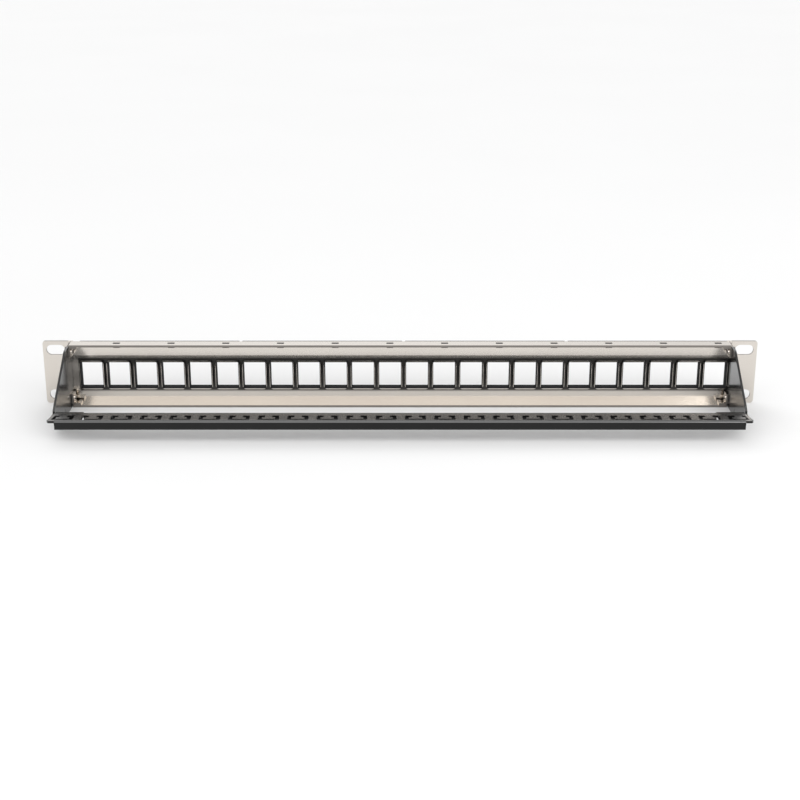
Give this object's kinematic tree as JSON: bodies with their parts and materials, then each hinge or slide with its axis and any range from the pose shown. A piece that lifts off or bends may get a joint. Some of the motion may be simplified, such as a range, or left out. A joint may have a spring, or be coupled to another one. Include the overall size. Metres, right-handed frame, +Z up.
{
  "type": "patch panel",
  "caption": "Rack-mount keystone patch panel, one rack unit high, with unloaded ports and a slotted rear cable bar on two side arms.",
  "frame": {"origin": "middle of the plane of the ears' rear faces, which lie against the rack rails; the centre of the four rack slots", "axes": "+X across the rack, +Y towards the front of the rack, +Z up"},
  "size_m": [0.4826, 0.0802, 0.044],
  "materials": {
    "nickel_steel": "bright nickel-plated sheet steel with a soft satin sheen",
    "dark_metal": "black painted sheet steel, semi-gloss",
    "black_plastic": "black moulded plastic, finely grained",
    "label_paper": "plain white label card",
    "clear_plastic": "clear moulded plastic",
    "rivet_metal": "steel rivets painted over with the tray",
    "black_fastener": "blackened steel"
  },
  "bodies": {
    "panel": {"chassis": "nickel_steel", "front_bezel_1": "black_plastic", "front_bezel_2": "black_plastic", "front_bezel_3": "black_plastic", "front_bezel_4": "black_plastic", "label_strip_1": "label_paper", "label_strip_2": "label_paper", "label_strip_3": "label_paper", "label_strip_4": "label_paper", "label_cover_1": "clear_plastic", "label_cover_2": "clear_plastic", "label_cover_3": "clear_plastic", "label_cover_4": "clear_plastic", "left_brackets": "nickel_steel", "right_brackets": "nickel_steel", "left_screws": "black_fastener", "right_screws": "black_fastener", "left_clinch_nuts": "nickel_steel", "right_clinch_nuts": "nickel_steel"},
    "cable_bar": {"cable_tray": "dark_metal", "left_arm": "dark_metal", "right_arm": "dark_metal", "left_rivets": "rivet_metal", "right_rivets": "rivet_metal"}
  },
  "joints": [
    {"name": "bar_slide", "type": "slide", "parent": "panel", "child": "cable_bar", "axis": [0, -1, 0], "range_m": [0, 0.03]}
  ]
}
